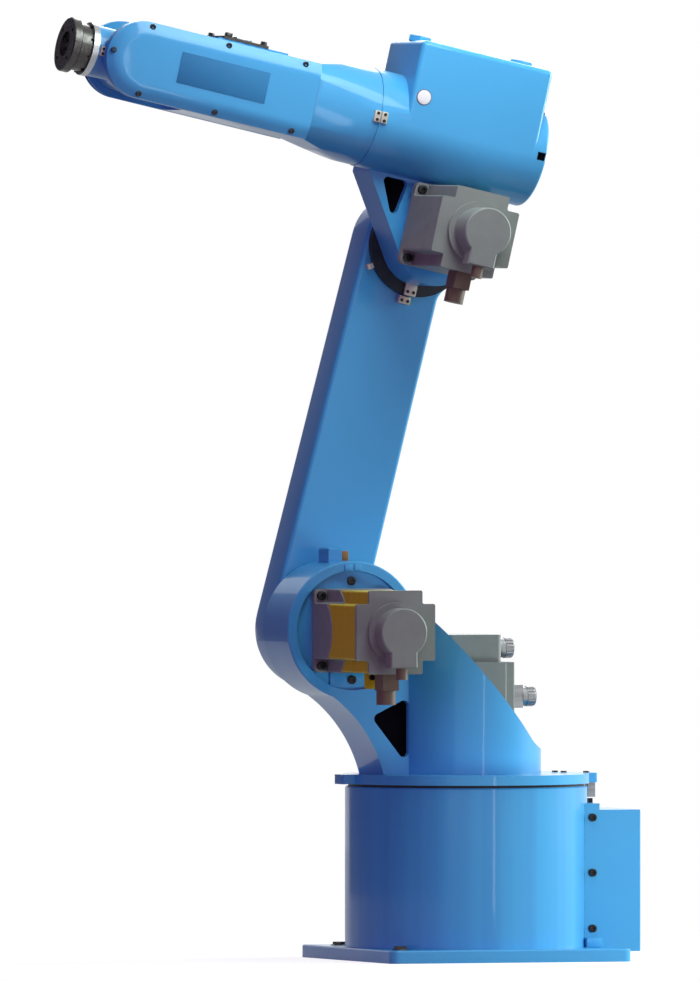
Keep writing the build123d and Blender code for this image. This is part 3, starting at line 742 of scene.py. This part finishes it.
@dataclass
class LowerArm:
    """Fasteners and marks of the lower arm. Millimetres and degrees."""

    far_face: float = 165.0
    cover_screw: Head = (5.0, 4.0)
    cover_ring: Ring = (8, 51.0, 22.5)
    near_face: float = -83.0
    lower_mark: Block = (19.0, 12.0, 11.0, 0.8)
    lower_mark_x: float = 2.5
    lower_mark_drop: float = 87.5
    front_mark: Block = (10.0, 8.0, 11.0, 0.8)
    front_mark_x: float = 70.0
    front_mark_drop: float = 50.0
    front_mark_turn: float = 36.0
    mark_screw: Head = (2.6, 1.2)
    mark_screw_drop: float = 88.5
    mark_screw_xs: Span = (-2.5, 7.5)

    def build(self) -> None:
        """Build every piece of the lower arm."""
        length = (ELBOW_POS - SHOULDER_POS).length / MM
        places = []
        for rise in (0.0, length):
            axis = LOWER_ARM @ Matrix.Translation((0.0, 0.0, rise * MM))
            places += ring_of(axis, self.cover_ring, self.far_face, Facing.RIGHT)
        add_piece("arm_cover_screws", repeat(cap_screw(*self.cover_screw), places), SCREW, Body.LOWER_ARM)
        self.marks(length)

    def marks(self, length: float) -> None:
        """Two zero-mark plates on the near face, below the elbow's ring.

        Args:
            length: Distance between the arm's two axes in millimetres.
        """
        drop = length - self.lower_mark_drop
        lower = spot(LOWER_ARM, self.lower_mark_x, self.near_face, drop, Facing.LEFT)
        add_piece("arm_mark", repeat(rounded_block(*self.lower_mark), [lower]), MARK, Body.LOWER_ARM)
        drop = length - self.front_mark_drop
        front = spot(LOWER_ARM, self.front_mark_x, self.near_face, drop, Facing.LEFT)
        front = front @ Matrix.Rotation(math.radians(self.front_mark_turn), 4, "Z")
        add_piece("arm_front_mark", repeat(rounded_block(*self.front_mark), [front]), MARK, Body.LOWER_ARM)
        seat = self.near_face + self.lower_mark[2]
        drop = length - self.mark_screw_drop
        screws = [spot(LOWER_ARM, x, seat, drop, Facing.LEFT) for x in self.mark_screw_xs]
        add_piece("arm_mark_screws", repeat(cap_screw(*self.mark_screw), screws), SCREW, Body.LOWER_ARM)


@dataclass
class Elbow:
    """Fasteners, marks and the blank disc of the elbow. Millimetres and degrees."""

    barrel_r: float = 78.0
    axis_rise: float = 170.0
    disc_x: float = 98.0
    disc_z: float = 216.0
    disc: tuple[float, float, float] = (11.2, 1.2, 0.3)
    disc_rim: tuple[float, float, float] = (12.4, 0.8, 0.2)
    disc_sides: int = 40
    end_face: float = 122.0
    end_screw: Head = (5.0, 1.0)
    end_ring: Ring = (8, 62.0, 22.5)
    slot_turns: tuple[float, ...] = (0.0, 63.0, 117.0, 180.0)
    slot_x: float = -114.0
    slot_floor: float = 71.0
    # Near-black sheet that paints the shade on each slot's floor.
    slot_shade_sheet: Block = (14.0, 12.0, 0.5, 0.1)
    motor_rise: float = 24.0
    motor_face: float = 36.0
    motor_corner: float = 54.5
    motor_screw: Head = (7.0, 8.0)
    roll_mark: Block = (10.0, 18.0, 4.5, 0.8)
    roll_mark_x: float = 155.4
    roll_mark_sink: float = 1.0
    hub_mark: Block = (19.0, 20.0, 6.0, 0.8)
    hub_mark_place: Point = (1.0, -69.0, -70.0)
    mark_screw: Head = (2.6, 1.2)
    mark_screw_gap: float = 5.0
    hub_screw_drop: float = 4.0

    def build(self) -> None:
        """Build every piece of the elbow."""
        disc = spot(ELBOW, self.disc_x, self.barrel_r, self.disc_z, Facing.LEFT)
        plain = repeat(rounded_bar(*self.disc, self.disc_sides), [disc])
        add_piece("blank_disc", plain, WHITE_DISC, Body.ELBOW)
        rim = repeat(rounded_bar(*self.disc_rim, self.disc_sides), [disc])
        add_piece("blank_disc_rim", rim, DISC_RIM, Body.ELBOW)
        self.end_cover()
        corners = corners_of(ELBOW, self.motor_corner, self.motor_face, self.motor_rise)
        add_piece("third_motor_screws", repeat(cap_screw(*self.motor_screw), corners), SCREW, Body.ELBOW)
        self.marks()

    def end_cover(self) -> None:
        """Screws of the rear end cover, and near-black sheets on its slot floors that paint the shade in the
        slots.
        """
        axis = ELBOW @ Matrix.Translation((0.0, 0.0, self.axis_rise * MM))
        rear = ring_of(axis, self.end_ring, self.end_face, Facing.BACK)
        add_piece("end_cover_screws", repeat(cap_screw(*self.end_screw), rear), SCREW, Body.ELBOW)
        turned = [axis @ Matrix.Rotation(math.radians(turn), 4, "X") for turn in self.slot_turns]
        shade_sheet_places = [spot(link, self.slot_x, self.slot_floor, 0.0, Facing.LEFT) for link in turned]
        add_piece("slot_painted_shade_sheets", repeat(rounded_block(*self.slot_shade_sheet), shade_sheet_places), POCKET_PAINTED_SHADE, Body.ELBOW)

    def marks(self) -> None:
        """Zero-mark plates at the roll joint and on the hub, with two screws each."""
        seat = self.barrel_r - self.roll_mark_sink
        roll = spot(ELBOW, self.roll_mark_x, seat, self.axis_rise, Facing.LEFT)
        add_piece("elbow_roll_mark", repeat(rounded_block(*self.roll_mark), [roll]), MARK, Body.ELBOW)
        hub = spot(ELBOW, *self.hub_mark_place, Facing.LEFT)
        add_piece("hub_mark", repeat(rounded_block(*self.hub_mark), [hub]), MARK, Body.ELBOW)
        gaps = (-self.mark_screw_gap, self.mark_screw_gap)
        top = seat + self.roll_mark[2]
        screws = [spot(ELBOW, self.roll_mark_x, top, self.axis_rise + gap, Facing.LEFT) for gap in gaps]
        x, y, z = self.hub_mark_place
        top = y + self.hub_mark[2]
        screws += [spot(ELBOW, x + gap, top, z - self.hub_screw_drop, Facing.LEFT) for gap in gaps]
        add_piece("elbow_mark_screws", repeat(cap_screw(*self.mark_screw), screws), SCREW, Body.ELBOW)


@dataclass
class Forearm:
    """Covers, bare plate, bracket and marks of the forearm. Millimetres."""

    cover_face: float = 68.0
    cover_screw: Head = (4.6, 4.5)
    screw_rows: tuple[float, ...] = (295.0, 425.0, 554.0)
    screw_height: float = 53.0
    screw_seat: float = 61.0
    tip_screw_x: float = 608.5
    tip_screw_z: float = 4.0
    plate: Block = (149.0, 49.0, 0.8, 0.3)
    plate_x: float = 424.5
    plate_z: float = 2.0
    bracket_top: float = 68.0
    bracket_bolt: tuple[float, float, float] = (5.0, 4.5, 6.0)
    bracket_bolts: tuple[Place, ...] = ((361.0, 38.0), (361.0, -38.0), (422.0, -38.0))
    ear: Block = (10.0, 12.0, 7.0, 1.5)
    ear_place: Place = (420.0, 36.0)
    clip: Block = (26.0, 44.0, 5.0, 1.2)
    clip_place: Place = (388.0, 0.0)
    mark: Block = (10.4, 18.0, 5.0, 0.8)
    mark_x: float = 167.0
    mark_seat: float = 76.0
    mark_screw: Head = (2.4, 1.5)
    mark_screw_gap: float = 5.0

    def build(self) -> None:
        """Build every piece of the forearm."""
        self.cover_screws()
        place = spot(FOREARM, self.plate_x, self.cover_face, self.plate_z, Facing.LEFT)
        add_piece("bare_plate", repeat(rounded_block(*self.plate), [place]), PLATE_BLUE, Body.FOREARM)
        self.bracket()
        self.marks()

    def cover_screws(self) -> None:
        """Two rows of screws in each side cover, and one at its tip."""
        places = []
        for side, facing in CHEEKS:
            seat = side * self.screw_seat
            for x in self.screw_rows:
                places += [spot(FOREARM, x, seat, end * self.screw_height, facing) for end in (-1, 1)]
            places.append(spot(FOREARM, self.tip_screw_x, seat, self.tip_screw_z, facing))
        add_piece("side_cover_screws", repeat(cap_screw(*self.cover_screw), places), SCREW, Body.FOREARM)

    def bracket(self) -> None:
        """Bolts, ear and clip of the top bracket."""
        bolts = [spot(FOREARM, x, y, self.bracket_top) for x, y in self.bracket_bolts]
        add_piece("bracket_bolts", repeat(hex_bolt(*self.bracket_bolt), bolts), SCREW, Body.FOREARM)
        ear = spot(FOREARM, *self.ear_place, self.bracket_top)
        add_piece("bracket_ear", repeat(rounded_block(*self.ear), [ear]), DARK_STEEL, Body.FOREARM)
        clip = spot(FOREARM, *self.clip_place, self.bracket_top)
        add_piece("bracket_clip", repeat(rounded_block(*self.clip), [clip]), BRIGHT_STEEL, Body.FOREARM)

    def marks(self) -> None:
        """Zero-mark plate beside the elbow's, with its two screws."""
        mark = spot(FOREARM, self.mark_x, self.mark_seat, 0.0, Facing.LEFT)
        add_piece("forearm_roll_mark", repeat(rounded_block(*self.mark), [mark]), MARK, Body.FOREARM)
        top = self.mark_seat + self.mark[2]
        gaps = (-self.mark_screw_gap, self.mark_screw_gap)
        screws = [spot(FOREARM, self.mark_x, top, gap, Facing.LEFT) for gap in gaps]
        add_piece("forearm_mark_screws", repeat(cap_screw(*self.mark_screw), screws), SCREW, Body.FOREARM)


@dataclass
class WristAndFlange:
    """Screws and marks of the wrist and the tool flange. Millimetres and degrees."""

    ring_face: float = 77.5
    ring_screw: Head = (2.2, 3.0)
    ring_places: Ring = (8, 39.4, 22.5)
    mark: Block = (13.0, 15.0, 3.5, 0.6)
    mark_place: Point = (58.5, 38.5, -0.5)
    mark_screw: Head = (2.1, 0.8)
    mark_screw_shift: float = 2.5
    mark_screw_gap: float = 4.0
    spigot_floor: float = 104.8
    spigot_screw: Head = (3.6, 3.4)
    spigot_ring: Ring = (6, 13.0, 0.0)

    def build(self) -> None:
        """Build every piece of the wrist and the flange."""
        ring = ring_of(WRIST, self.ring_places, self.ring_face, Facing.FRONT)
        add_piece("wrist_ring_screws", repeat(cap_screw(*self.ring_screw), ring), SCREW, Body.WRIST)
        place = spot(WRIST, *self.mark_place, Facing.LEFT)
        add_piece("wrist_mark", repeat(rounded_block(*self.mark), [place]), MARK, Body.WRIST)
        x, y, z = self.mark_place
        top = y + self.mark[2]
        gaps = (-self.mark_screw_gap, self.mark_screw_gap)
        heads = [spot(WRIST, x + self.mark_screw_shift, top, z + gap, Facing.LEFT) for gap in gaps]
        add_piece("wrist_mark_screws", repeat(cap_screw(*self.mark_screw), heads), SCREW, Body.WRIST)
        inner = ring_of(WRIST, self.spigot_ring, self.spigot_floor, Facing.FRONT)
        add_piece("flange_screws", repeat(cap_screw(*self.spigot_screw), inner), SCREW, Body.FLANGE)


@dataclass(frozen=True)
class Lamp:
    """One soft lamp of the studio. Metres, watts and degrees."""

    name: str
    place: Point
    size: Span
    power: float
    colour: Colour
    aim: Point = (0.15, 0.0, 0.75)
    spread: float = 180.0
    mirrored: bool = True

    def hang(self) -> None:
        """Hang the lamp and point it at its aim."""
        data = bpy.data.lights.new(self.name, "AREA")
        data.shape = "RECTANGLE"
        data.size, data.size_y = self.size
        data.energy = self.power
        data.color = self.colour
        data.spread = math.radians(self.spread)
        lamp = bpy.data.objects.new(self.name, data)
        bpy.context.scene.collection.objects.link(lamp)
        lamp.location = self.place
        lamp.visible_camera = False
        lamp.visible_glossy = self.mirrored
        way = Vector(self.aim) - Vector(self.place)
        lamp.rotation_euler = way.to_track_quat("-Z", "Y").to_euler()


@dataclass
class Studio:
    """Pale floor, soft lamps and camera. Metres and degrees, with the lens in millimetres."""

    yaw: float = 20.0
    lift: float = 0.77
    lens: float = 1200.0
    sensor: float = 36.0
    view_height: float = 1.5304
    aim_right: float = -0.181
    aim_up: float = 0.7313
    view_reach: float = 200.0
    floor_half: float = 7.0
    floor_roughness: float = 0.9
    floor_gloss: float = 0.68
    pool_inner: float = 0.35
    pool_outer: float = 1.5
    pool_glow: float = 0.82
    pool_tint: Colour = (0.34, 0.34, 0.35)
    air: Colour = (0.95, 0.48, 1.0)
    air_level: float = 0.12
    flag_radius: float = 4.0
    flag_height: float = 4.0
    flag_from: float = -76.0
    flag_turn: float = 128.0
    flag_steps: int = 32
    flag_colour: Colour = (0.1, 0.09, 0.125)
    lamps: tuple[Lamp, ...] = (
        Lamp("key_lamp", (-3.0, 0.05, 1.4), (1.6, 1.8), 116.0, (0.9, 1.0, 0.98)),
        Lamp("top_lamp", (0.05, 0.62, 1.96), (0.7, 0.7), 11.8, (0.9, 1.0, 0.98)),
        Lamp(
            "low_lamp", (-0.6, 0.9, 0.12), (0.5, 0.3), 2.3, (0.9, 1.0, 0.98),
            aim=(-0.1, 0.0, 0.15), spread=110.0, mirrored=False,
        ),
        Lamp("strip_lamp", (-0.3, 3.0, 0.9), (0.12, 2.2), 3.8, (1.0, 1.0, 1.0)),
        Lamp("fill_lamp", (3.0, 2.4, 0.8), (2.0, 2.0), 30.0, (0.9, 0.36, 0.95), mirrored=False),
        Lamp("back_lamp", (-1.0, -3.2, 2.4), (2.2, 2.2), 60.0, (1.0, 1.0, 1.0)),
    )

    def build(self) -> None:
        """Build the stage, the lamps and the camera."""
        self.world()
        self.floor()
        self.flag()
        for lamp in self.lamps:
            lamp.hang()
        self.camera()
        bpy.context.scene.view_settings.view_transform = "Standard"

    def world(self) -> None:
        """Soft ambient light, with a white background for what the camera and gloss see."""
        world = bpy.data.worlds.new("studio_air")
        bpy.context.scene.world = world
        world.use_nodes = True
        nodes = world.node_tree.nodes
        links = world.node_tree.links
        nodes.clear()
        out = nodes.new("ShaderNodeOutputWorld")
        ambient = nodes.new("ShaderNodeBackground")
        ambient.inputs["Color"].default_value = (*self.air, 1.0)
        ambient.inputs["Strength"].default_value = self.air_level
        white = nodes.new("ShaderNodeBackground")
        white.inputs["Color"].default_value = (1.0, 1.0, 1.0, 1.0)
        mix = nodes.new("ShaderNodeMixShader")
        links.new(self.seen(world.node_tree), mix.inputs["Fac"])
        links.new(ambient.outputs["Background"], mix.inputs[1])
        links.new(white.outputs["Background"], mix.inputs[2])
        links.new(mix.outputs["Shader"], out.inputs["Surface"])

    @staticmethod
    def seen(tree: bpy.types.NodeTree, gloss: float = 1.0) -> bpy.types.NodeSocket:
        """Make the factor that is 1 for camera and transmission rays.

        Args:
            tree: The node tree to add to.
            gloss: The factor for glossy rays.

        Returns:
            The socket that carries the factor.
        """
        nodes = tree.nodes
        links = tree.links
        path = nodes.new("ShaderNodeLightPath")
        glossy = nodes.new("ShaderNodeMath")
        glossy.operation = "MULTIPLY"
        glossy.inputs[1].default_value = gloss
        links.new(path.outputs["Is Glossy Ray"], glossy.inputs[0])
        both = nodes.new("ShaderNodeMath")
        both.operation = "MAXIMUM"
        links.new(path.outputs["Is Camera Ray"], both.inputs[0])
        links.new(glossy.outputs["Value"], both.inputs[1])
        every = nodes.new("ShaderNodeMath")
        every.operation = "MAXIMUM"
        links.new(both.outputs["Value"], every.inputs[0])
        links.new(path.outputs["Is Transmission Ray"], every.inputs[1])
        return every.outputs["Value"]

    def floor(self) -> None:
        """Pale floor that shows near white and keeps a faint shadow."""
        shape = bmesh.new()
        bmesh.ops.create_grid(shape, x_segments=2, y_segments=2, size=self.floor_half)
        mesh = bpy.data.meshes.new("studio_floor")
        shape.to_mesh(mesh)
        shape.free()
        floor = bpy.data.objects.new("studio_floor", mesh)
        bpy.context.scene.collection.objects.link(floor)
        material = bpy.data.materials.new("pale_floor")
        material.use_nodes = True
        nodes = material.node_tree.nodes
        links = material.node_tree.links
        shader = nodes["Principled BSDF"]
        shader.inputs["Roughness"].default_value = self.floor_roughness
        shader.inputs["Specular IOR Level"].default_value = 0.0
        shader.inputs["Emission Color"].default_value = (1.0, 1.0, 1.0, 1.0)
        place = nodes.new("ShaderNodeTexCoord")
        reach = nodes.new("ShaderNodeVectorMath")
        reach.operation = "LENGTH"
        links.new(place.outputs["Object"], reach.inputs[0])
        pool = (self.pool_inner, self.pool_outer)
        away = smooth_range(material.node_tree, reach.outputs["Value"], pool, (self.pool_glow, 1.0))
        fade = smooth_range(material.node_tree, reach.outputs["Value"], pool, (0.0, 1.0))
        tint = nodes.new("ShaderNodeMix")
        tint.data_type = "RGBA"
        tint.inputs["A"].default_value = (*self.pool_tint, 1.0)
        tint.inputs["B"].default_value = (0.0, 0.0, 0.0, 1.0)
        links.new(fade, tint.inputs["Factor"])
        links.new(tint.outputs["Result"], shader.inputs["Base Color"])
        glow = nodes.new("ShaderNodeMath")
        glow.operation = "MULTIPLY"
        links.new(self.seen(material.node_tree, self.floor_gloss), glow.inputs[0])
        links.new(away, glow.inputs[1])
        links.new(glow.outputs["Value"], shader.inputs["Emission Strength"])
        mesh.materials.append(material)

    def flag(self) -> None:
        """Curved dark screen that only reflections see, on the side away from the key lamp."""
        shape = bmesh.new()
        start = Matrix.Rotation(math.radians(self.flag_from), 3, "Z") @ Vector((self.flag_radius, 0.0, 0.0))
        foot = shape.verts.new(start)
        head = shape.verts.new(start + Vector((0.0, 0.0, self.flag_height)))
        pole = shape.edges.new((foot, head))
        bmesh.ops.spin(
            shape, geom=[foot, head, pole], cent=(0.0, 0.0, 0.0), axis=(0.0, 0.0, 1.0),
            angle=math.radians(self.flag_turn), steps=self.flag_steps,
        )
        mesh = bpy.data.meshes.new("dark_flag")
        shape.to_mesh(mesh)
        shape.free()
        screen = bpy.data.objects.new("dark_flag", mesh)
        bpy.context.scene.collection.objects.link(screen)
        screen.visible_camera = False
        screen.visible_diffuse = False
        screen.visible_shadow = False
        material = bpy.data.materials.new("flag_cloth")
        material.use_nodes = True
        shader = material.node_tree.nodes["Principled BSDF"]
        shader.inputs["Base Color"].default_value = (0.0, 0.0, 0.0, 1.0)
        shader.inputs["Specular IOR Level"].default_value = 0.0
        shader.inputs["Emission Color"].default_value = (*self.flag_colour, 1.0)
        shader.inputs["Emission Strength"].default_value = 1.0
        mesh.materials.append(material)

    def camera(self) -> None:
        """Long-lens camera at the photograph's angle and framing."""
        yaw = math.radians(self.yaw)
        lift = math.radians(self.lift)
        towards = Vector((math.sin(yaw) * math.cos(lift), math.cos(yaw) * math.cos(lift), math.sin(lift)))
        right = Vector((-math.cos(yaw), math.sin(yaw), 0.0))
        upward = towards.cross(right)
        data = bpy.data.cameras.new("photo_camera")
        data.lens = self.lens
        data.sensor_width = self.sensor
        data.clip_end = self.view_reach
        camera = bpy.data.objects.new("photo_camera", data)
        bpy.context.scene.collection.objects.link(camera)
        distance = self.view_height * self.lens / self.sensor
        turn = Matrix((right, upward, towards)).transposed().to_4x4()
        place = right * self.aim_right + upward * self.aim_up + towards * distance
        camera.matrix_world = Matrix.Translation(place) @ turn
        bpy.context.scene.camera = camera


def dress_nodes() -> None:
    """Give every CAD node its finish and smooth shading."""
    for name, node in frame["nodes"].items():
        finish = NODE_FINISHES.get(name, PAINT)
        node.data.materials.clear()
        node.data.materials.append(finish.material())
        smooth_by_angle(node)
        node.visible_diffuse = finish is not STATOR
        LOG.info("node %s dressed in %s", name, finish.name)


def main() -> None:
    """Dress the frame, build every sub-assembly and set the studio."""
    logging.basicConfig(level=logging.INFO, format="%(message)s")
    dress_nodes()
    for assembly in (Pedestal(), Turret(), LowerArm(), Elbow(), Forearm(), WristAndFlange(), Studio()):
        assembly.build()
        LOG.info("built %s", type(assembly).__name__)


if __name__ == "__main__":
    main()
